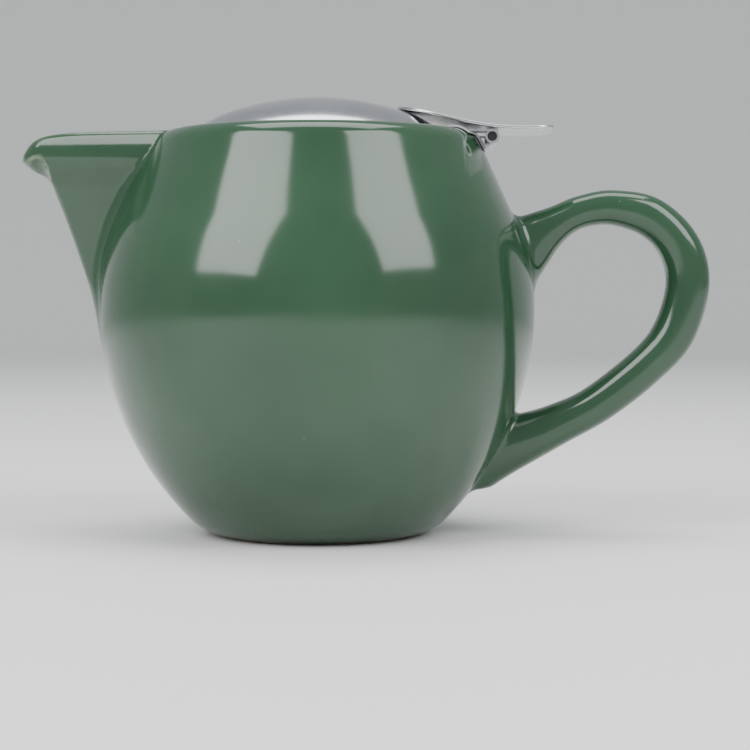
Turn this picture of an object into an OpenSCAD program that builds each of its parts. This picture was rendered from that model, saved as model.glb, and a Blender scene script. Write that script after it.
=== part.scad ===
// Round ceramic teapot with a hinged steel lid and a lift-out steel infuser.
// Origin: centre of the foot, on the surface that the pot stands on.
// The spout points along -X, the handle along +X, and the hinge pin lies along Y.

/* [Pot body] */
// Radius at the widest point
body_r = 61.3; // [60:0.1:62.5]
// Height of the widest point
belly_z = 64; // [63:0.5:65]
// Height of the rim
rim_z = 113.8; // [113:0.1:114.5]
// Thickness of the wall
wall = 4.2; // [3.6:0.1:4.8]
// Radius of the mouth, above the ledge
mouth_r = 38.6; // [38.5:0.05:38.8]
// Depth of the ledge below the rim
ledge_depth = 6; // [5.8:0.1:6.2]
// Radius of the throat, below the ledge
throat_r = 35.3; // [34.5:0.1:36]
// Diameter of the pour holes through the wall
pour_hole_d = 7; // [5:0.5:7.5]

/* [Handle] */
// Width of the loop across its section
handle_w = 13; // [11:0.5:15]

/* [Spout] */
// Width of the spout where it leaves the body, near the top
spout_root_w = 31; // [28:1:34]
// Width of the pouring lip
lip_w = 15.5; // [14:0.5:17]

/* [Infuser] */
// Outer radius of the basket wall
basket_r = 32; // [30:0.5:32.5]
// Height of the basket floor above the table
basket_floor_z = 36; // [30:1:60]
// Thickness of the sheet steel
sheet = 0.6; // [0.5:0.05:0.65]

/* [Lid] */
// Height of the crown of the dome
crown_z = 123.3; // [122.5:0.1:124]
// Radius of the lid's edge
lid_r = 36.9; // [36.5:0.1:37]
// Length of the thumb lever beyond the hinge pin
lever_reach = 17.2; // [15:0.2:18]
// Width of the thumb lever
lever_w = 26; // [22:1:28]

/* [Hinge] */
// Distance of the hinge pin from the pot's axis
hinge_x = 49; // [48.8:0.1:49.4]
// Height of the hinge pin
hinge_z = 111.4; // [111.2:0.1:111.6]
// Outer diameter of the rolled knuckles
knuckle_d = 3.9; // [3.8:0.1:4]
// Diameter of the hinge pin
pin_d = 2.7; // [2.5:0.1:2.7]
// Length over all three knuckles
hinge_w = 28.4; // [26:0.2:29]

/* [Hidden] */
$fn = 96;

GLAZE = [0.19, 0.33, 0.25];
STEEL = [0.74, 0.75, 0.78];
DARK_STEEL = [0.45, 0.46, 0.48];

// Small working distances
eps = 0.01;          // overlap that joins two shapes
flat_gap = 0.1;      // gap between flat faces that rest on each other
part_gap = 0.3;      // gap beside a part that moves
pin_gap = 0.08;      // running clearance round the pin, on the radius

// Outline of the body: a small arc at the foot, a long arc up to the belly, a
// rounder arc above it, a straight cone and a rounded shoulder.
foot_arc_r = 15;
lower_arc_r = 84;
upper_arc_r = 59;
shoulder_arc_r = 6.5;
cone_angle = 24.5;
lower_c = [body_r - lower_arc_r, belly_z];
upper_c = [body_r - upper_arc_r, belly_z];
foot_angle = asin((belly_z - foot_arc_r) / (lower_arc_r - foot_arc_r));
foot_c = [lower_c.x + (lower_arc_r - foot_arc_r) * cos(foot_angle), foot_arc_r];
cone_foot = upper_c + upper_arc_r * [cos(cone_angle), sin(cone_angle)];
shoulder_z = rim_z - shoulder_arc_r;
shoulder_x = cone_foot.x - (shoulder_arc_r + (shoulder_z - cone_foot.y) * sin(cone_angle))
    / cos(cone_angle);
shoulder_c = [shoulder_x, shoulder_z];

// Foot ring and mouth
foot_in_r = 21.5;
foot_recess = 1.8;
ledge_z = rim_z - ledge_depth;
ledge_thick = 3.4;
mouth_round = 1.5;

// Stack in the mouth: infuser flange, seat ring, lid hem
flange_z = ledge_z + flat_gap;
seat_z = flange_z + sheet + flat_gap;
hem_z = seat_z + sheet + 0.4;
flange_r = mouth_r - 0.4;
seat_r = mouth_r - 0.3;
seat_in_r = 33.4;
basket_top_z = flange_z - 0.4;
band_h = 7;

// Dome of the lid: a shallow cap that turns down more sharply near its edge
lid_sheet = 0.8;
cap_r = 78;
cap_edge_r = 27;
turn_r = 25;
cap_c = [0, crown_z - cap_r];
cap_angle = asin(cap_edge_r / cap_r);
turn_c = cap_c + (cap_r - turn_r) * [sin(cap_angle), cos(cap_angle)];

// Thumb lever: a straight run down from the dome, then a hollow curve
lever_sheet = 0.85;
lever_slope = 13.4;
lever_bend_r = 76;
lever_low_x = hinge_x + 9.2;
lever_low_z = hinge_z + 2.1;
lever_tip_x = 22.4;
lever_bend_c = [lever_low_x, lever_low_z + lever_bend_r + lever_sheet];

// Knuckles along the pin
moving_w = 16.2;
fixed_w = (hinge_w - moving_w) / 2 - part_gap;

// ---------------------------------------------------------------- shared

// Body's outline, moved inwards by inset
module body_outline(inset = 0) {
    foot_top = lower_c.y - (lower_arc_r - inset) * sin(foot_angle);
    belly_top = upper_c.y + (upper_arc_r - inset) * sin(cone_angle);
    shoulder_r = shoulder_arc_r - inset;
    cone_top = shoulder_c + shoulder_r * [cos(cone_angle), sin(cone_angle)];
    band(foot_c, foot_arc_r - inset, inset, foot_top + eps);
    translate([0, inset]) square([foot_c.x, foot_top - inset]);
    band(lower_c, lower_arc_r - inset, foot_top, belly_z + eps);
    band(upper_c, upper_arc_r - inset, belly_z, belly_top + eps);
    polygon([
        [0, belly_top],
        upper_c + (upper_arc_r - inset) * [cos(cone_angle), sin(cone_angle)],
        cone_top,
        [0, cone_top.y]
    ]);
    band(shoulder_c, shoulder_r, cone_top.y - eps, rim_z - inset);
    translate([0, cone_top.y - eps]) square([shoulder_c.x, rim_z - inset - cone_top.y + eps]);
}

// Part of a disc between two heights, on the positive side of the axis
module band(centre, r, low, high) {
    intersection() {
        translate(centre) circle(r, $fn = 180);
        translate([0, low]) square([2 * body_r, high - low]);
    }
}

// Flat ring or tube about the pot's axis
module tube(r_out, r_in, low, high) {
    translate([0, 0, low])
        difference() {
            cylinder(r = r_out, h = high - low);
            translate([0, 0, -1]) cylinder(r = r_in, h = high - low + 2);
        }
}

// Skin over a list of rings that all have the same number of points
module skin(rings) {
    n = len(rings[0]);
    m = len(rings);
    sides = [for (i = [0 : m - 2], j = [0 : n - 1])
        each [
            [i * n + j, i * n + (j + 1) % n, (i + 1) * n + j],
            [i * n + (j + 1) % n, (i + 1) * n + (j + 1) % n, (i + 1) * n + j]
        ]];
    low_cap = [[for (j = [n - 1 : -1 : 0]) j]];
    high_cap = [[for (j = [0 : n - 1]) (m - 1) * n + j]];
    polyhedron(points = [for (ring = rings) each ring], faces = concat(sides, low_cap, high_cap));
}

// Smooth curve through p1 and p2, with p0 and p3 as their neighbours
function curve(p0, p1, p2, p3, t) =
    0.5 * (2 * p1 + (p2 - p0) * t + (2 * p0 - 5 * p1 + 4 * p2 - p3) * t * t
    + (3 * p1 - p0 - 3 * p2 + p3) * t * t * t);

// Points of a smooth curve through all but the two end stations
function through(stations, steps) = [
    for (i = [1 : len(stations) - 3], k = [0 : steps - 1])
        curve(stations[i - 1], stations[i], stations[i + 1], stations[i + 2], k / steps),
    stations[len(stations) - 2]
];

// ---------------------------------------------------------------- pot

// Hollow of the pot, with the underside of the ledge sloping up to the throat
module pot_hollow() {
    ledge_under_z = ledge_z - ledge_thick;
    difference() {
        body_outline(wall);
        polygon([
            [throat_r, ledge_under_z],
            [body_r, ledge_under_z - (body_r - throat_r) * tan(30)],
            [body_r, rim_z],
            [throat_r, rim_z]
        ]);
    }
    translate([0, ledge_under_z - 1]) square([throat_r, rim_z]);
    translate([0, ledge_z]) square([mouth_r, rim_z]);
}

// Rounding of the inner edge of the rim
module mouth_edge() {
    difference() {
        translate([mouth_r - eps, rim_z - mouth_round])
            square([mouth_round + eps, mouth_round + eps]);
        translate([mouth_r + mouth_round, rim_z - mouth_round]) circle(mouth_round);
    }
}

module pot_body() {
    color(GLAZE)
        difference() {
            rotate_extrude()
                difference() {
                    body_outline();
                    pot_hollow();
                    mouth_edge();
                    translate([0, -1]) square([foot_in_r, 1 + foot_recess]);
                }
            pour_holes();
        }
}

// Column of holes through the wall into the spout
module pour_holes() {
    lowest_z = 80;
    step = 8.5;
    for (i = [0 : 2])
        translate([-body_r, 0, lowest_z + i * step])
            rotate([0, 90, 0])
                cylinder(d = pour_hole_d, h = body_r / 3);
}

// Everything inside the body's outer surface
module body_solid() {
    rotate_extrude() body_outline();
}

// Spout at one height: distance of the nose and of the corner from the pot's
// axis, half width at the corner and half width at the root.
lip = lip_w / 2;
root = spout_root_w / 2;
SPOUT_LEVELS = [
    // z, nose, corner, half width at the corner, half width at the root
    [52, 58.5, 56, 1.2, 1.5],
    [56, 61, 58.5, 2, 3],
    [70, 65.9, 62.9, 3, 0.5 * root],
    [85, 71.4, 68.1, 3.6, 0.75 * root],
    [96, 75.7, 72, 4.2, 0.9 * root],
    [99.3, 77.2, 73.6, 0.6 * lip, 0.94 * root],
    [101.2, 80.2, 74.8, 0.72 * lip, 0.96 * root],
    [103.1, 83.8, 75.6, 0.88 * lip, 0.98 * root],
    [105, 84.9, 77, 0.98 * lip, root],
    [107, 84.2, 78.2, lip, root],
    [109, 81.8, 76.6, 0.97 * lip, 0.99 * root],
    [111, 78.8, 73.6, 0.88 * lip, 0.94 * root],
    [112.5, 75.7, 70, 0.74 * lip, 0.86 * root],
    [113.4, 72, 66, 0.56 * lip, 0.74 * root],
    [113.7, 69, 63, 0.42 * lip, 0.62 * root]
];
spout_root_x = 38;

// Ring round the spout at one level: nose as a half ellipse, straight sides
function spout_ring(s) = concat(
    [for (a = [-90 : 15 : 90])
        [-s[2] - (s[1] - s[2]) * cos(a), s[3] * sin(a), s[0]]],
    [[-spout_root_x, s[4], s[0]], [-spout_root_x, -s[4], s[0]]]
);

// Way that the tea takes, from the body's surface to the mouth of the spout
PASSAGE_LEVELS = [
    // z, nose, corner, half width at the corner, half width and place of the back
    [76, 65, 62, 2.2, 4, 50],
    [90, 70, 66, 3, 8, 44],
    [100, 74.2, 70, 4, 10.5, 42],
    [104, 78.5, 73, 4.8, 11, 42],
    [108.6, 80.4, 75, 5.2, 11, 42],
    [109.6, 80.3, 75, 5.2, 5.4, 70.5],
    [116, 80.3, 75, 5.2, 5.2, 71.5]
];

function passage_ring(s) = concat(
    [for (a = [-90 : 22.5 : 90])
        [-s[2] - (s[1] - s[2]) * cos(a), s[3] * sin(a), s[0]]],
    [[-s[5], s[4], s[0]], [-s[5], -s[4], s[0]]]
);

module spout() {
    color(GLAZE)
        difference() {
            skin([for (s = SPOUT_LEVELS) spout_ring(s)]);
            skin([for (s = PASSAGE_LEVELS) passage_ring(s)]);
            body_solid();
        }
}

// Handle stations: inner edge x and z, outer edge x and z, share of the width.
// The first and last only steer the curve, and both ends start inside the body.
HANDLE_STATIONS = [
    [46, 60, 36, 83, 1.5],
    [54.5, 66, 47, 87.6, 1.42],
    [62.7, 72.6, 57.6, 90.6, 1.24],
    [65.6, 78.4, 65.8, 92.8, 1.1],
    [72.3, 85.5, 73.4, 95.7, 1.02],
    [83.3, 87, 83.3, 97.3, 1],
    [91, 84.4, 96.2, 94.8, 1],
    [96.2, 79.2, 106.8, 84.9, 1],
    [98.3, 71.3, 110.5, 71.3, 1],
    [95.4, 60.4, 106.1, 54.5, 1],
    [89.4, 52.3, 96.3, 43.4, 1],
    [75.8, 41.4, 82.8, 32.8, 1.03],
    [66.1, 36.8, 69.6, 25.3, 1.12],
    [57.6, 34.6, 55.6, 17, 1.3],
    [49, 36.5, 46, 9.5, 1.42],
    [40, 38, 34, 2, 1.5]
];
handle_round = 2.4;
handle_end_z = 12.8;

function signed_power(v, p) = sign(v) * pow(abs(v), p);

// Ring round the handle: an oval between the inner and the outer edge
function handle_ring(s) =
    let (
        inner = [s[0], 0, s[1]],
        outer = [s[2], 0, s[3]],
        middle = (inner + outer) / 2,
        half = (outer - inner) / 2,
        side = [0, handle_w / 2 * s[4], 0]
    )
    [for (a = [0 : 18 : 342])
        middle + half * signed_power(cos(a), 2 / handle_round)
        + side * signed_power(sin(a), 2 / handle_round)];

module handle() {
    color(GLAZE)
        difference() {
            skin([for (s = through(HANDLE_STATIONS, 4)) handle_ring(s)]);
            translate([0, -body_r, -body_r]) cube([2 * body_r, 2 * body_r, body_r + handle_end_z]);
            body_solid();
        }
}

// ---------------------------------------------------------------- infuser

// Flange on the ledge, with the collar that the wall hangs from
module infuser_rim() {
    color(STEEL) {
        tube(flange_r, basket_r, flange_z, flange_z + sheet);
        tube(basket_r + sheet, basket_r, flange_z - band_h, flange_z + eps);
    }
}

module infuser_wall() {
    color(STEEL)
        difference() {
            tube(basket_r, basket_r - sheet, basket_floor_z + sheet, basket_top_z);
            wall_holes();
        }
}

// Rows of holes round the basket, every other row turned by half a step
module wall_holes() {
    rows = 6;
    per_row = 20;
    row_step = 9;
    hole_d = 2.6;
    first_z = basket_floor_z + band_h + 4;
    for (row = [0 : rows - 1], i = [0 : per_row - 1])
        rotate((i + (row % 2) / 2) * 360 / per_row)
            translate([basket_r - 2 * sheet, 0, first_z + row * row_step])
                rotate([0, 90, 0])
                    cylinder(d = hole_d, h = 3 * sheet);
}

// Solid band that binds the foot of the wall
module infuser_band() {
    color(STEEL)
        tube(basket_r + sheet, basket_r, basket_floor_z, basket_floor_z + band_h);
}

// Pierced disc under the wall
module infuser_floor() {
    color(STEEL)
        translate([0, 0, basket_floor_z])
            linear_extrude(sheet)
                difference() {
                    circle(basket_r);
                    floor_holes();
                }
}

module floor_holes() {
    hole_d = 2.6;
    ring_step = 6;
    circle(d = hole_d);
    for (ring = [1 : 4], i = [0 : 6 * ring - 1])
        rotate(i * 60 / ring)
            translate([ring * ring_step, 0]) circle(d = hole_d);
}

// ---------------------------------------------------------------- lid seat

upstand_in_r = seat_r - sheet;
bend_z = rim_z - mouth_round;
tongue_angle = 19;
saddle_angle = 8;

// Ring that lies on the infuser's flange and stands up round the lid
module seat_ring() {
    color(STEEL) {
        tube(seat_r, seat_in_r, seat_z, seat_z + sheet);
        tube(seat_r, upstand_in_r, seat_z, bend_z);
    }
}

// Leaf that presses the seat ring against the inside of the mouth
module seat_spring(angle) {
    leaf_angle = 14;
    leaf_h = 2.2;
    color(DARK_STEEL)
        rotate(angle - leaf_angle / 2)
            rotate_extrude(angle = leaf_angle)
                translate([seat_r, seat_z + 0.8]) square([0.2, leaf_h]);
}

module seat_spring_1() { seat_spring(90); }

module seat_spring_2() { seat_spring(180); }

module seat_spring_3() { seat_spring(270); }

// Part of a ring's section, between two directions
module arc_strip(centre, r_in, r_out, from, to) {
    reach = 4 * r_out;
    translate(centre)
        intersection() {
            difference() {
                circle(r_out);
                circle(r_in);
            }
            polygon([
                [0, 0],
                reach * [cos(from), sin(from)],
                reach * [cos((from + to) / 2), sin((from + to) / 2)],
                reach * [cos(to), sin(to)]
            ]);
        }
}

// Sector about the +X direction, swept from an outline
module sector(half_angle) {
    rotate(-half_angle) rotate_extrude(angle = 2 * half_angle) children();
}

// Strip that rises from the seat ring, crosses the rim and follows the shoulder
module hinge_bracket() {
    over_r = mouth_round + part_gap;
    shoulder_r = shoulder_arc_r + part_gap;
    mouth_c = [mouth_r + mouth_round, bend_z];
    arm_end_angle = 48;
    saddle_end = shoulder_r * [cos(cone_angle), sin(cone_angle)] + shoulder_c;
    down = [sin(cone_angle), -cos(cone_angle)];
    out = [cos(cone_angle), sin(cone_angle)];
    saddle_tail = 2;
    color(STEEL)
        difference() {
            union() {
                sector(tongue_angle) {
                    arc_strip(mouth_c, over_r, over_r + sheet, 90, 180);
                    translate([mouth_c.x - eps, rim_z + part_gap])
                        square([shoulder_c.x - mouth_c.x + 2 * eps, sheet]);
                    arc_strip(shoulder_c, shoulder_r, shoulder_r + sheet, arm_end_angle, 90);
                }
                sector(saddle_angle) {
                    arc_strip(shoulder_c, shoulder_r, shoulder_r + sheet, cone_angle, 50);
                    polygon([
                        saddle_end,
                        saddle_end + sheet * out,
                        saddle_end + sheet * out + saddle_tail * down,
                        saddle_end + saddle_tail * down
                    ]);
                }
                fixed_arms();
            }
            knuckle_row() pin_hole(pin_d);
        }
}

// Knuckles at both ends, each with the arm that joins it to the strip
module fixed_arms() {
    arm_in_r = 44.3;
    arm_top = hinge_z + knuckle_d / 2;
    for (side = [-1, 1]) {
        translate([hinge_x, side * (hinge_w - fixed_w) / 2, hinge_z])
            rotate([90, 0, 0])
                cylinder(d = knuckle_d, h = fixed_w, center = true);
        difference() {
            translate([arm_in_r - 4, side * (hinge_w - fixed_w) / 2 - fixed_w / 2, arm_top - sheet])
                cube([hinge_x - arm_in_r + 4, fixed_w, sheet]);
            translate([0, 0, rim_z - 10]) cylinder(r = arm_in_r, h = 20);
        }
    }
}

// Places children on the hinge axis
module knuckle_row() {
    translate([hinge_x, 0, hinge_z]) rotate([90, 0, 0]) children();
}

module pin_hole(d) {
    cylinder(d = d, h = hinge_w + 2, center = true);
}

module hinge_pin() {
    pin_recess = 0.4;
    color(DARK_STEEL)
        knuckle_row() cylinder(d = pin_d, h = hinge_w - 2 * pin_recess, center = true);
}

// ---------------------------------------------------------------- lid

// Section under the dome, moved inwards by inset
module dome_section(inset) {
    split_r = cap_edge_r - inset * sin(cap_angle);
    intersection() {
        translate(cap_c) circle(cap_r - inset, $fn = 180);
        translate([0, hem_z]) square([split_r + eps, crown_z]);
    }
    intersection() {
        translate(turn_c) circle(turn_r - inset, $fn = 180);
        translate([split_r, hem_z]) square([lid_r - inset - split_r, crown_z]);
    }
}

module lid_dome() {
    color(STEEL)
        rotate_extrude()
            difference() {
                dome_section(0);
                translate([0, -eps]) dome_section(lid_sheet);
            }
}

// Height of the lever's upper face above the table at a distance x from the axis
function lever_top(x) =
    let (bend_x = lever_low_x - lever_bend_r * sin(lever_slope), turn = max(x, bend_x))
    lever_bend_c.y - sqrt(pow(lever_bend_r, 2) - pow(turn - lever_low_x, 2))
    + (turn - x) * tan(lever_slope);

// Side view of the thumb lever, as a solid strip
module lever_section() {
    steps = 24;
    end_x = hinge_x + lever_reach;
    xs = [for (i = [0 : steps]) lever_tip_x + (end_x - lever_tip_x) * i / steps];
    polygon(concat(
        [for (x = xs) [x, lever_top(x)]],
        [for (i = [steps : -1 : 0]) [xs[i], lever_top(xs[i]) - lever_sheet]]
    ));
}

// Plan of the thumb lever: a rounded tongue on the dome, a wide thumb plate
module lever_plan() {
    corner_r = 5;
    tongue_r = lever_w / 2;
    plate_end = hinge_x + lever_reach - corner_r;
    intersection() {
        union() {
            translate([lever_tip_x + tongue_r, 0]) circle(tongue_r);
            translate([lever_tip_x + tongue_r, -tongue_r])
                square([plate_end - lever_tip_x - tongue_r, lever_w]);
            for (side = [-1, 1])
                translate([plate_end, side * (tongue_r - corner_r)]) circle(corner_r);
            translate([plate_end - eps, -tongue_r + corner_r])
                square([corner_r + eps, lever_w - 2 * corner_r]);
        }
        translate([0, -lever_w]) square([hinge_x + lever_reach, 2 * lever_w]);
    }
}

module thumb_lever() {
    color(STEEL)
        difference() {
            intersection() {
                translate([0, lever_w, 0])
                    rotate([90, 0, 0])
                        linear_extrude(2 * lever_w) lever_section();
                translate([0, 0, hinge_z]) linear_extrude(3 * knuckle_d) lever_plan();
            }
            dome_solid();
        }
}

// Everything under the dome's outer surface
module dome_solid() {
    rotate_extrude() dome_section(0);
}

// Middle knuckle, with the web that joins it to the underside of the lever
module lid_knuckle() {
    web_top = lever_top(hinge_x + sheet / 2) - lever_sheet;
    color(STEEL)
        difference() {
            union() {
                knuckle_row() cylinder(d = knuckle_d, h = moving_w, center = true);
                translate([hinge_x - sheet / 2, -moving_w / 2, hinge_z])
                    cube([sheet, moving_w, web_top - hinge_z]);
            }
            knuckle_row() pin_hole(pin_d + 2 * pin_gap);
        }
}

// ---------------------------------------------------------------- nodes

pot_body();
spout();
handle();
infuser_rim();
infuser_wall();
infuser_band();
infuser_floor();
seat_ring();
seat_spring_1();
seat_spring_2();
seat_spring_3();
hinge_bracket();
hinge_pin();
lid_dome();
thumb_lever();
lid_knuckle();
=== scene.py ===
"""Glazed teapot with a hinged steel lid and a lift-out infuser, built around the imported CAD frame."""
import math

import bmesh
import bpy
import numpy as np
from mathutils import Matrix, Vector


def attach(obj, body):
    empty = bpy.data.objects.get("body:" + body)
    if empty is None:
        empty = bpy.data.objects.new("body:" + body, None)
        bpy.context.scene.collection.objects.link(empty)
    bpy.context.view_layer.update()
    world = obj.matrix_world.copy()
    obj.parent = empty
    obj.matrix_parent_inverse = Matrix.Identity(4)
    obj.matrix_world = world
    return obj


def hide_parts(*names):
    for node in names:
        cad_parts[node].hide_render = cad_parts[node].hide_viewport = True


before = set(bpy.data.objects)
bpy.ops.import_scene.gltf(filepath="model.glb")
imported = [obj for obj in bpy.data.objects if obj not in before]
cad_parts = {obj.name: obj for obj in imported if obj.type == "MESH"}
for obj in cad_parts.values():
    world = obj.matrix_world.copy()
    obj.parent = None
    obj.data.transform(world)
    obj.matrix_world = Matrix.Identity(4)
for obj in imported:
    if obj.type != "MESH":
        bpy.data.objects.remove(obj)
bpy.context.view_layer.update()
MM = 0.001

# ------------------------------------------------------------------ dimensions, in mm
RIM_Z = 113.8
BELLY_Z = 64.0
WALL = 4.2
MOUTH_R = 38.6
LEDGE_Z = 107.8
THROAT_R = 35.3
FOOT_IN_R = 21.5
FOOT_RECESS = 1.8
CONE = math.radians(24.5)
LOWER_C, LOWER_R = (-22.7, BELLY_Z), 84.0
UPPER_C, UPPER_R = (2.3, BELLY_Z), 59.0
FOOT_R = 15.0
FOOT_ANGLE = math.asin((BELLY_Z - FOOT_R) / (LOWER_R - FOOT_R))
FOOT_C = (LOWER_C[0] + (LOWER_R - FOOT_R) * math.cos(FOOT_ANGLE), FOOT_R)
SHOULDER_R = 6.5
CONE_FOOT = (UPPER_C[0] + UPPER_R * math.cos(CONE), UPPER_C[1] + UPPER_R * math.sin(CONE))
SHOULDER_Z = RIM_Z - SHOULDER_R
SHOULDER_X = CONE_FOOT[0] - (SHOULDER_R + (SHOULDER_Z - CONE_FOOT[1]) * math.sin(CONE)) / math.cos(CONE)
HINGE_X, HINGE_Z = 49.0, 111.4
BASKET_R, SHEET = 32.0, 0.6
BASKET_FLOOR = 36.0
FLANGE_Z = LEDGE_Z + 0.1
SEAT_Z = FLANGE_Z + SHEET + 0.1
HEM_Z = SEAT_Z + SHEET + 0.4
CROWN_Z, LID_R, LID_SHEET = 123.3, 36.9, 0.8
LEDGE_T = 3.4  # height of the ledge's edge above the slope under it
LEDGE_SLOPE = math.radians(30)
POUR_HOLES_Z, POUR_HOLE_R = (80.0, 88.5, 97.0), 3.5
SPOUT_ROOT_X, SPOUT_LOW_Z = 36.0, 40.0  # the spout's solid stops here, inside the body
FAR = 30.0  # a distance past which nothing is joined or cut


# ------------------------------------------------------------------ smooth shape functions
def round_union(a, b, r):
    """Union of two distances with a hollow fillet of radius r."""
    u, v = np.maximum(r - a, 0), np.maximum(r - b, 0)
    return np.maximum(r, np.minimum(a, b)) - np.sqrt(u * u + v * v)


def round_cut(a, b, r):
    """What is in both a and b, with the edge between them rounded to radius r."""
    u, v = np.maximum(r + a, 0), np.maximum(r + b, 0)
    return np.minimum(-r, np.maximum(a, b)) + np.sqrt(u * u + v * v)


def smooth_curve(at, value):
    """A smooth curve through (at, value) that never overshoots; returns a function."""
    at, value = np.array(at, float), np.array(value, float)
    h = np.diff(at)
    d = np.diff(value) / h
    m = np.zeros(len(at))
    m[0], m[-1] = d[0], d[-1]
    same = d[:-1] * d[1:] > 0
    w1, w2 = 2 * h[1:] + h[:-1], h[1:] + 2 * h[:-1]
    with np.errstate(divide="ignore", invalid="ignore"):
        m[1:-1] = np.where(same, (w1 + w2) / (w1 / d[:-1] + w2 / d[1:]), 0)

    def f(x):
        x = np.clip(x, at[0], at[-1])
        i = np.clip(np.searchsorted(at, x) - 1, 0, len(h) - 1)
        t = (x - at[i]) / h[i]
        t2, t3 = t * t, t * t * t
        return (
            (2 * t3 - 3 * t2 + 1) * value[i] + (t3 - 2 * t2 + t) * h[i] * m[i]
            + (3 * t2 - 2 * t3) * value[i + 1] + (t3 - t2) * h[i] * m[i + 1]
        )

    return f


def outer_body(r, z):
    """Distance to the body's outer surface, a chain of arcs turned about the axis."""
    out = np.where(r <= FOOT_C[0], -z, -1e3)

    def arc(centre, radius, low, high, out):
        dr, dz = r - centre[0], z - centre[1]
        angle = np.arctan2(dz, dr)
        ok = (angle >= low) & (angle <= high)
        return np.where(ok, np.maximum(out, np.hypot(dr, dz) - radius), out)

    out = arc(FOOT_C, FOOT_R, -math.pi / 2, -FOOT_ANGLE, out)
    out = arc(LOWER_C, LOWER_R, -FOOT_ANGLE, 0, out)
    out = arc(UPPER_C, UPPER_R, 0, CONE, out)
    along = -(r - CONE_FOOT[0]) * math.sin(CONE) + (z - CONE_FOOT[1]) * math.cos(CONE)
    length = (SHOULDER_Z - CONE_FOOT[1] + SHOULDER_R * math.sin(CONE)) / math.cos(CONE)
    across = (r - CONE_FOOT[0]) * math.cos(CONE) + (z - CONE_FOOT[1]) * math.sin(CONE)
    out = np.where((along >= 0) & (along <= length), np.maximum(out, across), out)
    out = arc((SHOULDER_X, SHOULDER_Z), SHOULDER_R, CONE, math.pi / 2, out)
    return np.where(r <= SHOULDER_X, np.maximum(out, z - RIM_Z), out)


def hollow(r, z, outer):
    """Distance to the hollow of the pot: inside, throat and mouth."""
    under = LEDGE_Z - LEDGE_T
    cone = (z - under + (r - THROAT_R) * math.tan(LEDGE_SLOPE)) * math.cos(LEDGE_SLOPE)
    inside = round_cut(outer + WALL, cone, 2.0)
    throat = np.maximum(r - THROAT_R, under - 3 - z)
    mouth = np.maximum(r - MOUTH_R, LEDGE_Z - z)
    return np.minimum(round_union(inside, throat, 0.8), mouth)


# spout: u runs outwards from the pot's axis. A level section has its nose at u = nose(z), its sides
# start to close at u = corner(z), and its half width is tip_half there and root_half at the body.
LIP, ROOT = 7.75, 15.5
SPOUT_Z = [30, 56, 70, 85, 96, 98.5, 100, 102, 104, 106.5, 108.7, 111.2, 113.6, 118]
nose = smooth_curve(SPOUT_Z, [51, 60.6, 65.5, 70.6, 74.9, 76.2, 78.5, 83.5, 85, 85, 84.4, 83.7, 83.4, 83.4])
corner = smooth_curve(SPOUT_Z, [48.5, 58.5, 63, 68.1, 72, 73.4, 74.2, 75, 76, 78.2, 78.2, 77.8, 77.6, 77.6])
tip_half = smooth_curve(
    SPOUT_Z,
    [1, 2, 3, 3.6, 4.2] + [LIP * s for s in (0.58, 0.66, 0.8, 0.91, 0.96, 0.97, 0.95, 0.92, 0.91)],
)
root_half = smooth_curve(
    SPOUT_Z,
    [ROOT * s for s in (0.1, 0.2, 0.5, 0.75, 0.9, 0.93, 0.95, 0.97, 1, 1, 1, 0.98, 0.95, 0.94)],
)
# top of the spout: level from the body, then falling away to the lip
top = smooth_curve(
    [36, 60, 68, 73.5, 77.3, 80.7, 83.6, 85.4],
    [113.5, 113.5, 113.35, 112.95, 112.3, 110.9, 108.4, 105.2],
)
# underside of the lip: lowest along the middle, rising to an arched edge on each side
under_mid = smooth_curve(
    [60, 72, 74, 75, 76.2, 77.7, 81.3, 84.2, 86],
    [30, 78, 89, 95, 99.2, 101, 102.9, 105.1, 107.2],
)
under_rise = smooth_curve(
    [74, 75.5, 76.2, 77, 79, 80.6, 82, 83.4, 85],
    [0, 3.3, 4.9, 5.1, 5.0, 4.1, 2.6, 1.0, 0.4],
)
# the way for the tea inside the spout, described like the outside
PASS_Z = [76, 90, 100, 104, 108.6, 120]
pass_nose = smooth_curve(PASS_Z, [61.5, 67, 71.4, 75.6, 80.0, 80.6])
pass_corner = smooth_curve(PASS_Z, [59, 64, 69, 72.5, 75, 75.2])
pass_half = smooth_curve(PASS_Z, [1.6, 2.2, 2.9, 3.8, 4.7, 4.9])
pass_root = smooth_curve(PASS_Z, [3, 7, 10, 11, 11, 11])
PASS_LOW_Z, PASS_ROOF_Z, PASS_OPEN_X = 78.0, 109.0, 71.0


def under_lip(x, y, z):
    """Height of the lip's underside over z: a ridge along the middle, rounded at its foot."""
    u = -x
    return under_mid(u) + under_rise(u) * (np.sqrt(y * y + 0.6) - 0.77) / 7.0 - z


def under_top(x, y, z):
    """Height of z over the top of the spout."""
    return z - top(-x)


def tongue(x, y, z, nose_f, corner_f, half_f, root_f, root_x):
    """Value that is 0 on a surface whose level sections have straight sides and an oval nose."""
    u = -x
    n, c, h, w = nose_f(z), corner_f(z), half_f(z), root_f(z)
    width = h + (w - h) * (c - u) / (c - root_x)
    t = np.maximum(u - c, 0) / (n - c)
    return (y / np.maximum(width, 0.5)) ** 2 + t * t - 1


def to_distance(f, x, y, z, floor=-8.0):
    """Turns a value that is 0 on a surface into a distance near it."""
    e = 0.02
    v = f(x, y, z)
    gx = (f(x + e, y, z) - f(x - e, y, z)) / (2 * e)
    gy = (f(x, y + e, z) - f(x, y - e, z)) / (2 * e)
    gz = (f(x, y, z + e) - f(x, y, z - e)) / (2 * e)
    return np.clip(v / np.sqrt(gx * gx + gy * gy + gz * gz + 1e-4), floor, FAR)


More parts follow.
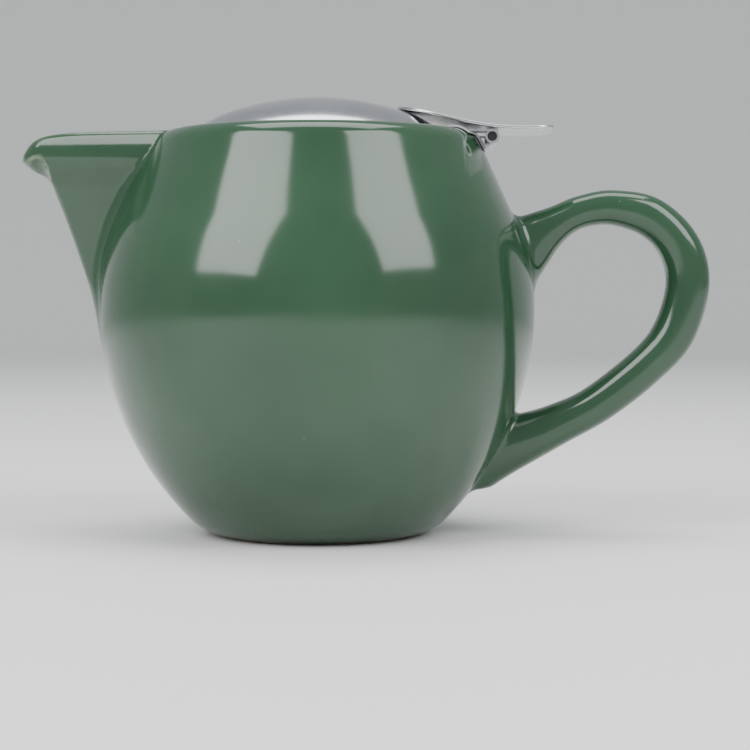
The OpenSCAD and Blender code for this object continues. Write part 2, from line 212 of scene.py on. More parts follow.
def spout_outer(x, y, z):
    """Distance to the outside of the spout."""
    d = to_distance(lambda a, b, c: tongue(a, b, c, nose, corner, tip_half, root_half, 38), x, y, z)
    d = round_cut(d, to_distance(under_lip, x, y, z, -FAR), 0.7)
    d = round_cut(d, to_distance(under_top, x, y, z, -FAR), 1.8)
    return round_cut(np.maximum(d, x + SPOUT_ROOT_X), SPOUT_LOW_Z - z, 3)


def root_fillet(z):
    """Radius of the fillet between spout and body: it runs out towards the rim."""
    t = np.clip((z - 96) / 15, 0, 1)
    return 5.0 - 4.5 * t * t * (3 - 2 * t)


def spout_way(x, y, z):
    """The way that the tea takes, open at the top near the lip only."""
    d = to_distance(
        lambda a, b, c: tongue(a, b, c, pass_nose, pass_corner, pass_half, pass_root, 42), x, y, z
    )
    d = round_cut(d, PASS_LOW_Z - z, 2.0)
    covered = round_cut(d, z - PASS_ROOF_Z, 0.5)
    return np.minimum(covered, round_cut(d, x + PASS_OPEN_X, 1.5))


HANDLE_HALF_W = 6.5
HANDLE_END_Z = 12.8
# edges of the handle seen square on: x and z, and for the inner one the width factor
INNER_EDGE = [
    (44, 57, 1.5), (52, 62.5, 1.42), (59.5, 68.8, 1.3), (63.8, 73.4, 1.2), (66.8, 78, 1.1),
    (69.7, 82.4, 1.05), (73.1, 85.5, 1.02), (77.6, 87, 1), (83.3, 87.1, 1), (91, 84.4, 1),
    (96.2, 79.2, 1), (98.3, 71.3, 1), (95.4, 60.4, 1), (89.4, 52.3, 1), (75.8, 41.4, 1.03),
    (66.1, 36.8, 1.12), (57.6, 34.4, 1.3), (49, 33.5, 1.42), (40, 33, 1.5),
]
OUTER_EDGE = [
    (36, 83), (47, 87.6), (57.6, 90.6), (65.8, 92.8), (73.4, 95.7), (83.3, 97.3), (96.2, 94.8),
    (106.8, 84.9), (110.5, 71.3), (106.1, 54.5), (96.3, 43.4), (82.8, 32.8), (69.6, 25.3),
    (55.6, 17), (50.8, 13.6), (46, 10), (34, 2),
]


def spline(points, steps):
    """Smooth curve through all rows of points, with its ends continued straight."""
    p = np.array(points, float)
    p = np.vstack([2 * p[0] - p[1], p, 2 * p[-1] - p[-2]])
    t = np.linspace(0, 1, steps, endpoint=False)[:, None]
    rows = []
    for i in range(1, len(p) - 2):
        a, b, c, d = p[i - 1], p[i], p[i + 1], p[i + 2]
        rows.append(0.5 * (2 * b + (c - a) * t + (2 * a - 5 * b + 4 * c - d) * t * t
                           + (3 * b - a - 3 * c + d) * t ** 3))
    rows.append(p[-2][None])
    return np.vstack(rows)


def middle_line(inner, outer):
    """Centres and radii of the discs that touch both edges."""
    run = np.gradient(inner[:, :2], axis=0)
    into = np.stack([-run[:, 1], run[:, 0]], 1) / np.hypot(*run.T)[:, None]
    low, high = np.full(len(inner), 0.5), np.full(len(inner), 14.0)
    for _ in range(24):
        radius = (low + high) / 2
        centre = inner[:, :2] + radius[:, None] * into
        gap = np.sqrt(((centre[:, None] - outer[None]) ** 2).sum(2)).min(1)
        low, high = np.where(gap > radius, radius, low), np.where(gap > radius, high, radius)
    return centre, radius


HANDLE = spline(INNER_EDGE, 20)
HANDLE_MID, HANDLE_HALF = middle_line(HANDLE, spline(OUTER_EDGE, 60))
HANDLE_SIDE = HANDLE_HALF_W * HANDLE[:, 2]


def handle_frame(x, z):
    """For points in the handle's plane: distance from its middle line, half thickness, half width."""
    shape = np.broadcast(x, z).shape
    px = np.broadcast_to(x, shape).ravel()
    pz = np.broadcast_to(z, shape).ravel()
    off, half, side = (np.empty(px.size) for _ in range(3))
    seg = np.diff(HANDLE_MID, axis=0)
    seg2 = (seg ** 2).sum(1)
    for lo in range(0, px.size, 4000):
        s = slice(lo, lo + 4000)
        dx = px[s, None] - HANDLE_MID[None, :-1, 0]
        dz = pz[s, None] - HANDLE_MID[None, :-1, 1]
        t = np.clip((dx * seg[:, 0] + dz * seg[:, 1]) / seg2, 0, 1)
        ex, ez = dx - t * seg[:, 0], dz - t * seg[:, 1]
        d2 = ex * ex + ez * ez
        i = d2.argmin(1)
        k = np.arange(len(i))
        tt = t[k, i]
        off[s] = np.sqrt(d2[k, i])
        half[s] = HANDLE_HALF[i] * (1 - tt) + HANDLE_HALF[i + 1] * tt
        side[s] = HANDLE_SIDE[i] * (1 - tt) + HANDLE_SIDE[i + 1] * tt
    return off.reshape(shape), half.reshape(shape), side.reshape(shape)


def handle_outer(x, y, z):
    """Distance to the handle, whose section is an oval a little squarer than an ellipse."""
    off, half, side = handle_frame(x, z)
    p = 2.4
    a, b = off / half, np.abs(y) / side
    g = (a ** p + b ** p + 1e-9) ** (1 / p)
    slope = g ** (1 - p) * np.sqrt((a ** (p - 1) / half) ** 2 + (b ** (p - 1) / side) ** 2)
    d = np.clip((g - 1) / np.maximum(slope, 0.05), -6, 40)
    return round_cut(d, HANDLE_END_Z - z, 1.4)


def joint_fillet(z):
    """Radius of the fillet between handle and body: tight at the foot of the handle."""
    t = np.clip((z - 28) / 30, 0, 1)
    return 1.5 + 1.2 * t * t * (3 - 2 * t)


def pot(x, y, z):
    """Distance to the whole ceramic: body, spout and handle luted together, and hollowed."""
    shape = np.broadcast(x, y, z).shape
    grid = np.ndim(x) == 3
    along = x[:, 0, 0] if grid else x

    def part(mask):
        return (x[mask], y, z) if grid else (x[mask], y[mask], z[mask])

    r = np.hypot(x, y)
    body = np.broadcast_to(outer_body(r, z), shape)
    solid = body.copy()
    left, right = along < -30, along > 35
    at = part(right)
    solid[right] = round_union(solid[right], handle_outer(*at), joint_fillet(at[2]))
    at = part(left)
    solid[left] = round_union(solid[left], spout_outer(*at), root_fillet(at[2]))
    way = np.full(shape, FAR)
    way[left] = np.maximum(spout_way(*at), 0.5 - body[left])
    solid = round_cut(solid, z - RIM_Z, 0.5)
    solid = round_cut(solid, -hollow(r, z, body), 1.5)
    foot = np.maximum(r - FOOT_IN_R, z - FOOT_RECESS)
    solid = round_cut(solid, -foot, 0.7)
    solid = round_cut(solid, -way, 1.0)
    for hole_z in POUR_HOLES_Z:
        hole = np.maximum(np.hypot(y, z - hole_z) - POUR_HOLE_R, x + 38)
        solid = round_cut(solid, -np.maximum(hole, body - 1.5), 0.6)
    return solid


# ------------------------------------------------------------------ surface from a distance
def surface(f, low, high, pitch):
    """Quad mesh of the surface f = 0: one point in each grid cell that it crosses."""
    axes = [np.arange(a, b + pitch, pitch) for a, b in zip(low, high)]
    v = f(axes[0][:, None, None], axes[1][None, :, None], axes[2][None, None, :])
    inside = v < 0
    corners = sum(
        inside[i:i - 1 or None, j:j - 1 or None, k:k - 1 or None].astype(np.int8)
        for i in (0, 1) for j in (0, 1) for k in (0, 1)
    )
    cell = (corners > 0) & (corners < 8)
    number = np.full(cell.shape, -1)
    number[cell] = np.arange(cell.sum())
    at = np.argwhere(cell)
    points = np.stack([axes[n][at[:, n]] + pitch / 2 for n in range(3)], 1)
    faces = []
    for n in range(3):
        a = np.moveaxis(inside, n, 0)
        num = np.moveaxis(number, n, 0)
        change = a[:-1, 1:-1, 1:-1] != a[1:, 1:-1, 1:-1]
        i, j, k = np.nonzero(change)
        quad = np.stack([num[i, j, k], num[i, j + 1, k], num[i, j + 1, k + 1], num[i, j, k + 1]], 1)
        flip = ~a[:-1, 1:-1, 1:-1][i, j, k]
        if n == 1:
            flip = ~flip
        quad[flip] = quad[flip][:, ::-1]
        faces.append(quad)
    return points, np.vstack(faces)


def gradient(f, p, e=0.03):
    """Slope of f at each point."""
    g = np.empty_like(p)
    for n in range(3):
        q = p.copy()
        q[:, n] += e
        up = f(*q.T)
        q[:, n] -= 2 * e
        g[:, n] = (up - f(*q.T)) / (2 * e)
    return g


def settle(f, p, rounds=5, reach=1.1):
    """Moves points onto the surface f = 0, but no further than reach along each axis."""
    start = p
    for _ in range(rounds):
        g = gradient(f, p)
        step = f(*p.T)[:, None] * g / np.maximum((g * g).sum(1), 0.2)[:, None]
        p = start + np.clip(p - np.clip(step, -0.8, 0.8) - start, -reach, reach)
    return p


def new_object(name, verts, faces):
    """A smooth-shaded object; verts are in mm."""
    mesh = bpy.data.meshes.new(name)
    points = [tuple(map(float, v)) for v in np.asarray(verts) * MM]
    mesh.from_pydata(points, [], [tuple(map(int, q)) for q in faces])
    mesh.validate()
    mesh.polygons.foreach_set("use_smooth", [True] * len(mesh.polygons))
    obj = bpy.data.objects.new(name, mesh)
    bpy.context.scene.collection.objects.link(obj)
    return obj


MIN_EDGE = 0.35


def refine(obj, f, angle):
    """Halves the edges over which the surface turns by more than angle, and settles all points."""
    bm = bmesh.new()
    bm.from_mesh(obj.data)
    p = np.array([v.co[:] for v in bm.verts]) / MM
    g = gradient(f, p)
    g /= np.linalg.norm(g, axis=1)[:, None]
    ends = np.array([[e.verts[0].index, e.verts[1].index] for e in bm.edges])
    turn = (g[ends[:, 0]] * g[ends[:, 1]]).sum(1)
    length = np.linalg.norm(p[ends[:, 0]] - p[ends[:, 1]], axis=1)
    bm.edges.ensure_lookup_table()
    pick = [bm.edges[i] for i in np.nonzero((turn < math.cos(angle)) & (length > MIN_EDGE))[0]]
    bmesh.ops.subdivide_edges(bm, edges=pick, cuts=1, use_grid_fill=True)
    bmesh.ops.triangulate(bm, faces=[q for q in bm.faces if len(q.verts) > 4])
    p = settle(f, np.array([v.co[:] for v in bm.verts]) / MM, 3, 0.5)
    for v, q in zip(bm.verts, p):
        v.co = Vector(q * MM)
    bm.to_mesh(obj.data)
    bm.free()


def finish_pot(obj):
    """Exact normals, and an attribute that says how sharply the surface turns."""
    p = np.array([v.co[:] for v in obj.data.vertices]) / MM
    g = gradient(pot, p)
    g /= np.maximum(np.linalg.norm(g, axis=1), 1e-9)[:, None]
    mesh = obj.data
    mesh.polygons.foreach_set("use_smooth", [True] * len(mesh.polygons))
    mesh.normals_split_custom_set_from_vertices([tuple(n) for n in g])
    e = 0.7
    bend = -6 * pot(*p.T)
    for n in range(3):
        for s in (-e, e):
            q = p.copy()
            q[:, n] += s
            bend += pot(*q.T)
    bend /= e * e
    attr = mesh.attributes.new("bend", "FLOAT", "POINT")
    attr.data.foreach_set("value", bend.astype(np.float32))


points, quads = surface(pot, (-88, -64, -3), (114, 64, 117), 1.25)
ceramic = new_object("ceramic_pot", settle(pot, points), quads)
for _ in range(2):
    refine(ceramic, pot, math.radians(22))
finish_pot(ceramic)
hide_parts("pot_body", "spout", "handle")
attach(ceramic, "pot")


# ------------------------------------------------------------------ materials
def material(name, color, metallic, rough):
    """A material, its node tree and its main shader."""
    m = bpy.data.materials.new(name)
    m.use_nodes = True
    tree = m.node_tree
    b = tree.nodes["Principled BSDF"]
    b.inputs["Base Color"].default_value = (*color, 1)
    b.inputs["Metallic"].default_value = metallic
    b.inputs["Roughness"].default_value = rough
    return m, tree, b


def node(tree, kind, **settings):
    """A new node; settings name its sockets or, where there is none, its properties."""
    n = tree.nodes.new(kind)
    for k, v in settings.items():
        if k in n.inputs:
            n.inputs[k].default_value = v
        else:
            setattr(n, k, v)
    return n


def ramp(tree, source, stops):
    """Colour ramp over a source socket; stops are (position, colour)."""
    n = tree.nodes.new("ShaderNodeValToRGB")
    e = n.color_ramp.elements
    for i, (at, c) in enumerate(stops):
        e[i].position = at
        e[i].color = (*c, 1)
    tree.links.new(source, n.inputs["Fac"])
    return n


def mix(tree, fac, a, b):
    """Blend from a to b, each a socket or a colour, by the socket fac."""
    n = tree.nodes.new("ShaderNodeMix")
    n.data_type = "RGBA"
    for socket, value in ((n.inputs[0], fac), (n.inputs[6], a), (n.inputs[7], b)):
        if isinstance(value, bpy.types.NodeSocket):
            tree.links.new(value, socket)
        else:
            socket.default_value = (*value, 1)
    return n.outputs[2]


def glaze():
    """Glossy green glaze, uneven and flecked, thin over edges and wiped off the foot."""
    m, t, b = material("green_glaze", (0.05, 0.12, 0.06), 0.0, 0.08)
    link = t.links.new
    where = node(t, "ShaderNodeTexCoord").outputs["Object"]
    broad = node(t, "ShaderNodeTexNoise", Scale=22.0, Detail=3.0, Roughness=0.55)
    link(where, broad.inputs["Vector"])
    tone = ramp(t, broad.outputs["Fac"], [(0.32, (0.016, 0.050, 0.024)), (0.68, (0.024, 0.066, 0.033))])
    # glaze runs thin and pale over sharp edges
    bend = node(t, "ShaderNodeAttribute", attribute_name="bend")
    edge = ramp(t, bend.outputs["Fac"], [(0.42, (0, 0, 0)), (1.0, (1, 1, 1))])
    thin = mix(t, edge.outputs["Color"], tone.outputs["Color"], (0.13, 0.19, 0.11))
    # fine pale flecks of iron in the glaze
    fleck = node(t, "ShaderNodeTexVoronoi", Scale=240.0)
    link(where, fleck.inputs["Vector"])
    pick = node(t, "ShaderNodeTexNoise", Scale=60.0)
    link(where, pick.inputs["Vector"])
    dot = ramp(t, fleck.outputs["Distance"], [(0.03, (1, 1, 1)), (0.07, (0, 0, 0))])
    few = ramp(t, pick.outputs["Fac"], [(0.60, (0, 0, 0)), (0.66, (1, 1, 1))])
    both = node(t, "ShaderNodeMath", operation="MULTIPLY")
    link(dot.outputs["Color"], both.inputs[0])
    link(few.outputs["Color"], both.inputs[1])
    flecked = mix(t, both.outputs[0], thin, (0.16, 0.22, 0.12))
    # bare clay on the foot ring, where the glaze was wiped off
    spot = node(t, "ShaderNodeSeparateXYZ")
    link(where, spot.inputs[0])
    wobble = node(t, "ShaderNodeTexNoise", Scale=160.0, Detail=2.0)
    link(where, wobble.inputs["Vector"])
    lift = node(t, "ShaderNodeMath", operation="MULTIPLY_ADD")
    link(wobble.outputs["Fac"], lift.inputs[0])
    lift.inputs[1].default_value = -0.0009
    link(spot.outputs["Z"], lift.inputs[2])
    bare = node(t, "ShaderNodeMath", operation="LESS_THAN")
    link(lift.outputs[0], bare.inputs[0])
    bare.inputs[1].default_value = 0.00005
    colour = mix(t, bare.outputs[0], flecked, (0.42, 0.36, 0.27))
    link(colour, b.inputs["Base Color"])
    worn = node(t, "ShaderNodeTexNoise", Scale=35.0, Detail=4.0)
    link(where, worn.inputs["Vector"])
    dull = node(t, "ShaderNodeMapRange")
    link(worn.outputs["Fac"], dull.inputs["Value"])
    dull.inputs["To Min"].default_value = 0.08
    dull.inputs["To Max"].default_value = 0.17
    mat = node(t, "ShaderNodeMath", operation="MULTIPLY_ADD")
    link(bare.outputs[0], mat.inputs[0])
    mat.inputs[1].default_value = 0.7
    link(dull.outputs["Result"], mat.inputs[2])
    link(mat.outputs[0], b.inputs["Roughness"])
    # faint unevenness that a poured glaze keeps
    wave = node(t, "ShaderNodeTexNoise", Scale=55.0, Detail=1.5)
    link(where, wave.inputs["Vector"])
    bump = node(t, "ShaderNodeBump", Strength=0.05, Distance=0.002)
    link(wave.outputs["Fac"], bump.inputs["Height"])
    link(bump.outputs["Normal"], b.inputs["Normal"])
    b.inputs["IOR"].default_value = 1.54
    return m


def steel(name, color, rough, brush=(1.0, 1.0, 1.0), scratch=0.04):
    """Stainless sheet: fine scratches stretched along one way, wipe marks and darker stains."""
    m, t, b = material(name, color, 1.0, rough)
    link = t.links.new
    where = node(t, "ShaderNodeTexCoord").outputs["Object"]
    turned = node(t, "ShaderNodeMapping")
    turned.inputs["Scale"].default_value = brush
    link(where, turned.inputs["Vector"])
    fine = node(t, "ShaderNodeTexNoise", Scale=900.0, Detail=4.0, Roughness=0.7)
    link(turned.outputs[0], fine.inputs["Vector"])
    wipe = node(t, "ShaderNodeTexNoise", Scale=38.0, Detail=5.0, Roughness=0.6, Distortion=0.8)
    link(where, wipe.inputs["Vector"])
    tone = ramp(t, wipe.outputs["Fac"], [(0.3, tuple(0.86 * c for c in color)), (0.62, color)])
    link(tone.outputs["Color"], b.inputs["Base Color"])
    low = node(t, "ShaderNodeMapRange")
    link(wipe.outputs["Fac"], low.inputs["Value"])
    low.inputs["To Min"].default_value = rough * 0.6
    low.inputs["To Max"].default_value = rough * 1.5
    add = node(t, "ShaderNodeMath", operation="MULTIPLY_ADD")
    link(fine.outputs["Fac"], add.inputs[0])
    add.inputs[1].default_value = rough * 0.5
    link(low.outputs["Result"], add.inputs[2])
    link(add.outputs[0], b.inputs["Roughness"])
    bump = node(t, "ShaderNodeBump", Strength=scratch, Distance=0.0003)
    link(fine.outputs["Fac"], bump.inputs["Height"])
    link(bump.outputs["Normal"], b.inputs["Normal"])
    return m


GLAZE = glaze()
LID_STEEL = steel("polished_steel", (0.62, 0.63, 0.66), 0.13)
LEVER_STEEL = steel("lever_steel", (0.60, 0.60, 0.62), 0.20, (0.08, 1, 1), 0.08)
BRACKET_STEEL = steel("bracket_steel", (0.52, 0.52, 0.54), 0.25, (1, 0.1, 1), 0.08)
SPRING_STEEL = steel("spring_steel", (0.30, 0.30, 0.33), 0.30, (1, 1, 0.1), 0.08)
PIN_STEEL = steel("pin_steel", (0.045, 0.045, 0.05), 0.5, (1, 0.05, 1), 0.1)
MESH_STEEL = steel("infuser_steel", (0.58, 0.58, 0.60), 0.22, (1, 1, 0.1), 0.06)
ceramic.data.materials.append(GLAZE)


# ------------------------------------------------------------------ turned and lofted pieces
def outward(obj):
    """Joins coinciding points and turns all faces outwards."""
    bm = bmesh.new()
    bm.from_mesh(obj.data)
    bmesh.ops.remove_doubles(bm, verts=bm.verts, dist=1e-7)
    bmesh.ops.recalc_face_normals(bm, faces=bm.faces)
    bm.to_mesh(obj.data)
    bm.free()
    return obj


def lathe(name, outline, segments=128, close=True):
    """Turns an outline of (r, z), in mm and anticlockwise, about the axis."""
    n = len(outline)
    a = np.linspace(0, 2 * math.pi, segments, endpoint=False)
    verts = [(r * math.cos(t), r * math.sin(t), z) for t in a for r, z in outline]
    faces = []
    for i in range(segments):
        k = (i + 1) % segments
        for j in range(n if close else n - 1):
            q = (j + 1) % n
            faces.append((i * n + j, k * n + j, k * n + q, i * n + q))
    return outward(new_object(name, verts, faces))


def thick(line, t, round_steps=5):
    """Closed outline of sheet metal of thickness t along a line, its edges rounded."""
    p = np.array(line, float)
    d = np.gradient(p, axis=0)
    d /= np.linalg.norm(d, axis=1)[:, None]
    side = np.stack([-d[:, 1], d[:, 0]], 1) * t / 2
    ends = []
    for at, way, s in ((p[-1], d[-1], side[-1]), (p[0], -d[0], -side[0])):
        a = np.linspace(0, math.pi, round_steps + 2)[1:-1]
        ends.append([at + s * math.cos(x) + way * t / 2 * math.sin(x) for x in a])
    return [tuple(q) for q in list(p + side) + ends[0] + list((p - side)[::-1]) + ends[1]]


def place(obj, mat, body, slot, *nodes):
    """Gives a piece its material and its body, and hides the CAD nodes that it replaces; slot is not used.
    """
    obj.data.materials.append(mat)
    if nodes:
        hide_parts(*nodes)
    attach(obj, body)
    return obj


def arc_points(centre, radius, start, end, n):
    """n points on an arc, angles in degrees."""
    a = np.radians(np.linspace(start, end, n))
    return [(centre[0] + radius * math.cos(x), centre[1] + radius * math.sin(x)) for x in a]


def crisp_edges(obj, angle=35):
    """Smooth shading that keeps edges sharper than angle crisp."""
    obj.data.set_sharp_from_angle(angle=math.radians(angle))


# dome: shallow cap, sharper turn near the edge, rolled hem
half = LID_SHEET / 2
CAP_R, TURN_R, SPLIT_R = 78.0, 25.0, 27.0
cap_angle = math.degrees(math.asin(SPLIT_R / CAP_R))
cap_c = (0.0, CROWN_Z - CAP_R)
turn_c = (
    cap_c[0] + (CAP_R - TURN_R) * math.sin(math.radians(cap_angle)),
    cap_c[1] + (CAP_R - TURN_R) * math.cos(math.radians(cap_angle)),
)
edge_angle = math.degrees(math.acos((LID_R - 0.5 - turn_c[0]) / (TURN_R - half)))
dome_line = arc_points(cap_c, CAP_R - half, 90, 90 - cap_angle, 30)[1:]
dome_line += arc_points(turn_c, TURN_R - half, 90 - cap_angle, edge_angle, 14)[1:]
last = dome_line[-1]
dome_line += [(LID_R - half - 0.02, last[1] - 1.2), (LID_R - half, last[1] - 2.4)]
dome_line += [(LID_R - half, z) for z in np.linspace(last[1] - 3.2, HEM_Z + half, 5)]
dome_line = [(0.001, CROWN_Z - half)] + dome_line
dome = lathe("lid_dome_shell", thick(dome_line, LID_SHEET), 160)
crisp_edges(dome)
place(dome, LID_STEEL, "lid", "lid_steel", "lid_dome")


# ------------------------------------------------------------------ thumb lever
LEVER_T = 0.85
LEVER_W = 26.0
TIP_X, END_X, CORNER_R, EDGE_R = 22.4, HINGE_X + 17.2, 5.0, 0.3
LOW_X, LOW_Z, BEND_R = HINGE_X + 9.2, HINGE_Z + 2.1, 76.0
SLOPE = math.radians(13.4)


def lever_top(x):
    """Height of the lever's top: straight from the tip, then bent level."""
    bend_x = LOW_X - BEND_R * math.sin(SLOPE)
    t = max(x, bend_x)
    top = LOW_Z + BEND_R + LEVER_T - math.sqrt(BEND_R ** 2 - (t - LOW_X) ** 2)
    return top + (t - x) * math.tan(SLOPE)


def lever_half(x):
    """Half width of the lever at x: round tongue at one end, rounded corners at the other."""
    w = LEVER_W / 2
    if x < TIP_X + w:
        return math.sqrt(max(w * w - (TIP_X + w - x) ** 2, 0.0))
    if x > END_X - CORNER_R:
        return w - CORNER_R + math.sqrt(max(CORNER_R ** 2 - (x - END_X + CORNER_R) ** 2, 0.0))
    return w


def lever():
    """The lever as rows across, each a closed section with rounded edges."""
    w = LEVER_W / 2
    turn = np.radians(np.linspace(0, 180, 22))
    xs = [TIP_X + w - w * math.cos(a / 2) for a in turn[:-1]]
    xs += list(np.linspace(TIP_X + w, END_X - CORNER_R, 34))[:-1]
    xs += [END_X - CORNER_R + CORNER_R * math.sin(a / 2) for a in turn]
    xs[0] += 0.02
    xs[-1] -= 0.02
    rows = []
    for x in xs:
        flat = max(lever_half(x), EDGE_R) - EDGE_R
        mid = lever_top(x) - LEVER_T / 2
        ring = []
        for side in (1, -1):
            for a in np.radians(np.linspace(90, -90, 9)):
                y = side * (flat + EDGE_R * math.cos(a))
                ring.append((x, y, mid + LEVER_T / 2 * math.sin(a) * side))
            for s in np.linspace(0.85, -0.85, 7):
                ring.append((x, side * s * max(flat, 0.01), mid - side * LEVER_T / 2))
        rows.append(ring)
    n = len(rows[0])
    verts = [v for r in rows for v in r]
    faces = [
        (i * n + j, i * n + (j + 1) % n, (i + 1) * n + (j + 1) % n, (i + 1) * n + j)
        for i in range(len(rows) - 1) for j in range(n)
    ]
    faces += [tuple(range(n - 1, -1, -1)), tuple(range((len(rows) - 1) * n, len(rows) * n))]
    obj = outward(new_object("thumb_lever_plate", verts, faces))
    crisp_edges(obj, 40)
    return obj


place(lever(), LEVER_STEEL, "lid", "lever_steel", "thumb_lever")


# ------------------------------------------------------------------ rings and infuser
def ring_piece(name, line, mat, body, slot, *nodes):
    """A ring of sheet metal that follows a line of (r, z)."""
    obj = lathe(name, thick(line, SHEET), 144)
    crisp_edges(obj)
    return place(obj, mat, body, slot, *nodes)


flange_mid = FLANGE_Z + SHEET / 2
collar_r = BASKET_R + SHEET / 2
rim_line = [(collar_r, z) for z in np.linspace(FLANGE_Z - 7 + 0.3, flange_mid - 1.2, 6)]
rim_line += arc_points((collar_r + 1.2, flange_mid - 1.2), 1.2, 180, 90, 7)[1:]
rim_line += [(x, flange_mid) for x in np.linspace(collar_r + 1.8, 38.2 - 0.3, 6)]
ring_piece("infuser_flange", rim_line, MESH_STEEL, "infuser", "infuser_steel", "infuser_rim")

band_line = [(collar_r, z) for z in np.linspace(BASKET_FLOOR + 0.3, BASKET_FLOOR + 6.7, 6)]
ring_piece("infuser_foot_band", band_line, MESH_STEEL, "infuser", "infuser_steel", "infuser_band")

seat_mid = SEAT_Z + SHEET / 2
up_r = 38.3 - SHEET / 2
seat_line = [(x, seat_mid) for x in np.linspace(33.7, up_r - 0.8, 5)]
seat_line += arc_points((up_r - 0.7, seat_mid + 0.7), 0.7, -90, 0, 6)
seat_line += [(up_r, z) for z in np.linspace(seat_mid + 1.2, 112.0, 4)]
ring_piece("lid_seat", seat_line, BRACKET_STEEL, "lid_frame", "bracket_steel", "seat_ring")


def pierced(rows, cols, point, wrap, hole, t):
    """Sheet of square cells, each with an eight-sided hole; point(u, v, depth) puts it in space."""
    verts, faces, index = [], [], {}

    def vert(key, u, v, depth):
        k = (key, depth)
        if k not in index:
            index[k] = len(verts)
            verts.append(point(u, v, depth))
        return index[k]

    around = [(0, 0), (0.5, 0), (1, 0), (1, 0.5), (1, 1), (0.5, 1), (0, 1), (0, 0.5)]
    for i in range(rows):
        for j in range(cols):
            both = []
            for depth in (0.0, t):
                edge, rim = [], []
                for k, (du, dv) in enumerate(around):
                    cu = (j + du) % cols if wrap else j + du
                    edge.append(vert(("e", round(2 * cu), round(2 * (i + dv))), j + du, i + dv, depth))
                    a = math.radians(-135 + 45 * k)
                    u, v = j + 0.5 + hole * math.cos(a), i + 0.5 + hole * math.sin(a)
                    rim.append(vert(("h", i, j, k), u, v, depth))
                both.append((edge, rim))
            for k in range(8):
                q = (k + 1) % 8
                (e0, r0), (e1, r1) = both
                faces.append((e0[k], e0[q], r0[q], r0[k]))
                faces.append((e1[q], e1[k], r1[k], r1[q]))
                faces.append((r0[k], r0[q], r1[q], r1[k]))
    return verts, faces


def wall_mesh():
    """Perforated wall: rows of fine holes between plain margins that the rim and the band cover."""
    cols, rows = 84, 24
    low, high = BASKET_FLOOR + 6.4, FLANGE_Z - 5.4
    pitch = (high - low) / rows

    def point(u, v, depth):
        a = 2 * math.pi * u / cols
        r = BASKET_R - 0.02 - depth
        return (r * math.cos(a), r * math.sin(a), low + v * pitch)

    verts, faces = pierced(rows, cols, point, True, 0.30, SHEET - 0.04)
    for z0, z1 in ((BASKET_FLOOR + SHEET, low), (high, FLANGE_Z - 0.4)):
        for depth in (0.02, SHEET):
            n = len(verts)
            r = BASKET_R - depth
            for z in (z0, z1):
                for k in range(2 * cols):
                    a = math.pi * k / cols
                    verts.append((r * math.cos(a), r * math.sin(a), z))
            for k in range(2 * cols):
                q = (k + 1) % (2 * cols)
                faces.append((n + k, n + q, n + 2 * cols + q, n + 2 * cols + k))
    obj = new_object("infuser_mesh_wall", verts, faces)
    crisp_edges(obj, 50)
    return place(obj, MESH_STEEL, "infuser", "infuser_steel", "infuser_wall")


def floor_mesh():
    """Perforated floor: the cells of a square sheet that lie within reach of the axis."""
    cells, pitch, reach = 22, 2.5, 26.5

    def point(u, v, depth):
        return ((u - cells / 2) * pitch, (v - cells / 2) * pitch, BASKET_FLOOR + SHEET - depth)

    verts, faces = pierced(cells, cells, point, False, 0.28, SHEET)

    def cell_middle(q, axis):
        """Middle of the cell that face q belongs to, along one axis."""
        mean = sum(verts[i][axis] for i in q) / len(q)
        return (math.floor(mean / pitch + cells / 2) + 0.5 - cells / 2) * pitch

    keep = [q for q in faces if math.hypot(cell_middle(q, 0), cell_middle(q, 1)) < reach]
    obj = new_object("infuser_mesh_floor", verts, keep)
    crisp_edges(obj, 50)
    return place(obj, MESH_STEEL, "infuser", "infuser_steel", "infuser_floor")


wall_mesh()
floor_mesh()
plain_line = [(x, BASKET_FLOOR + 0.3) for x in np.linspace(25.8, BASKET_R - 0.3, 6)]
ring_piece("infuser_floor_margin", plain_line, MESH_STEEL, "infuser", "infuser_steel")

for name, mat in (
    ("seat_spring_1", SPRING_STEEL), ("seat_spring_2", SPRING_STEEL), ("seat_spring_3", SPRING_STEEL),
    ("hinge_bracket", BRACKET_STEEL), ("hinge_pin", PIN_STEEL), ("lid_knuckle", LEVER_STEEL),
):
    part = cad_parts[name]
    part.data.materials.clear()
    part.data.materials.append(mat)


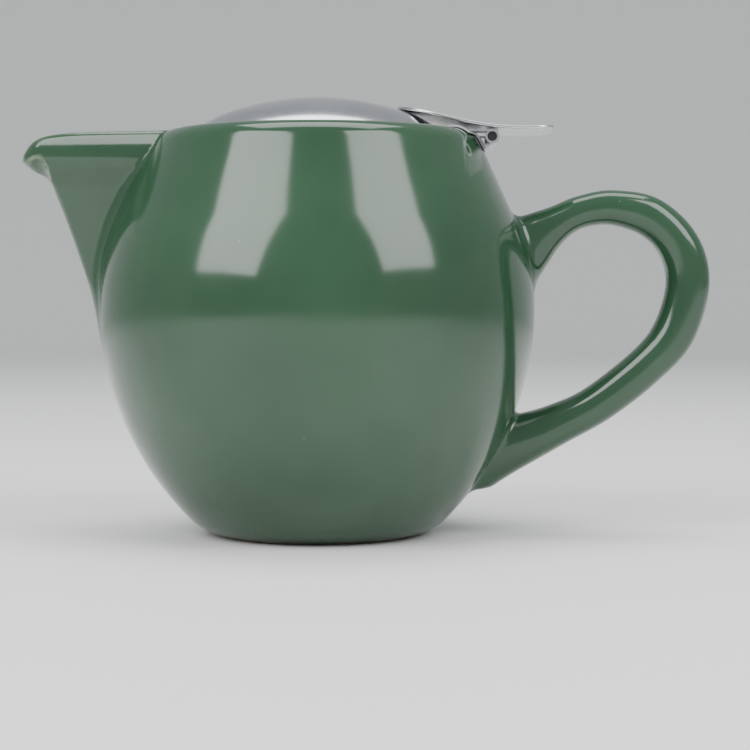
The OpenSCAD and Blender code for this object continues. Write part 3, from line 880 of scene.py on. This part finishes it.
# ------------------------------------------------------------------ floor, light, camera
ground = material("pale_floor", (0.80, 0.80, 0.79), 0.0, 0.55)[0]
sweep = [(1.0, -0.1), (500.0, -0.1), (1500.0, -0.1)] + arc_points((1600.0, 1100.0), 1100.1, -90, -5, 24)
floor = lathe("floor", sweep, 96, close=False)
floor.data.flip_normals()
floor.data.materials.append(ground)

world = bpy.data.worlds.new("studio")
world.use_nodes = True
sky = world.node_tree.nodes["Background"]
sky.inputs["Color"].default_value = (0.86, 0.90, 0.94, 1)
sky.inputs["Strength"].default_value = 0.55
bpy.context.scene.world = world


def area_light(name, at, size, power):
    """A rectangular soft light aimed at the middle of the pot."""
    data = bpy.data.lights.new(name, "AREA")
    data.shape = "RECTANGLE"
    data.size, data.size_y = size
    data.energy = power
    obj = bpy.data.objects.new(name, data)
    obj.location = at
    obj.rotation_mode = "QUATERNION"
    obj.rotation_quaternion = (Vector((0, 0, 0.06)) - Vector(at)).to_track_quat("-Z", "Y")
    bpy.context.scene.collection.objects.link(obj)


area_light("window_left", (-0.75, -0.75, 0.85), (0.80, 0.95), 18)
area_light("window_right", (0.72, -0.55, 0.80), (0.60, 0.85), 11)
area_light("ceiling", (0.0, 0.15, 1.3), (1.1, 0.7), 12)

DISTANCE, EYE = 0.540, 0.067
AZIMUTH, YAW, PITCH = math.radians(4.0), math.radians(1.71), math.radians(2.34)
cam_data = bpy.data.cameras.new("camera")
cam_data.sensor_width = 36
cam_data.lens = 90.96
camera = bpy.data.objects.new("camera", cam_data)
right = Vector((math.cos(AZIMUTH), math.sin(AZIMUTH), 0))
ahead = Vector((-math.sin(AZIMUTH), math.cos(AZIMUTH), 0))
camera.location = -ahead * DISTANCE + Vector((0, 0, EYE))
look = (ahead * math.cos(YAW) + right * math.sin(YAW)) * math.cos(PITCH) - Vector((0, 0, math.sin(PITCH)))
camera.rotation_mode = "QUATERNION"
camera.rotation_quaternion = look.to_track_quat("-Z", "Y")
bpy.context.scene.collection.objects.link(camera)
bpy.context.scene.camera = camera
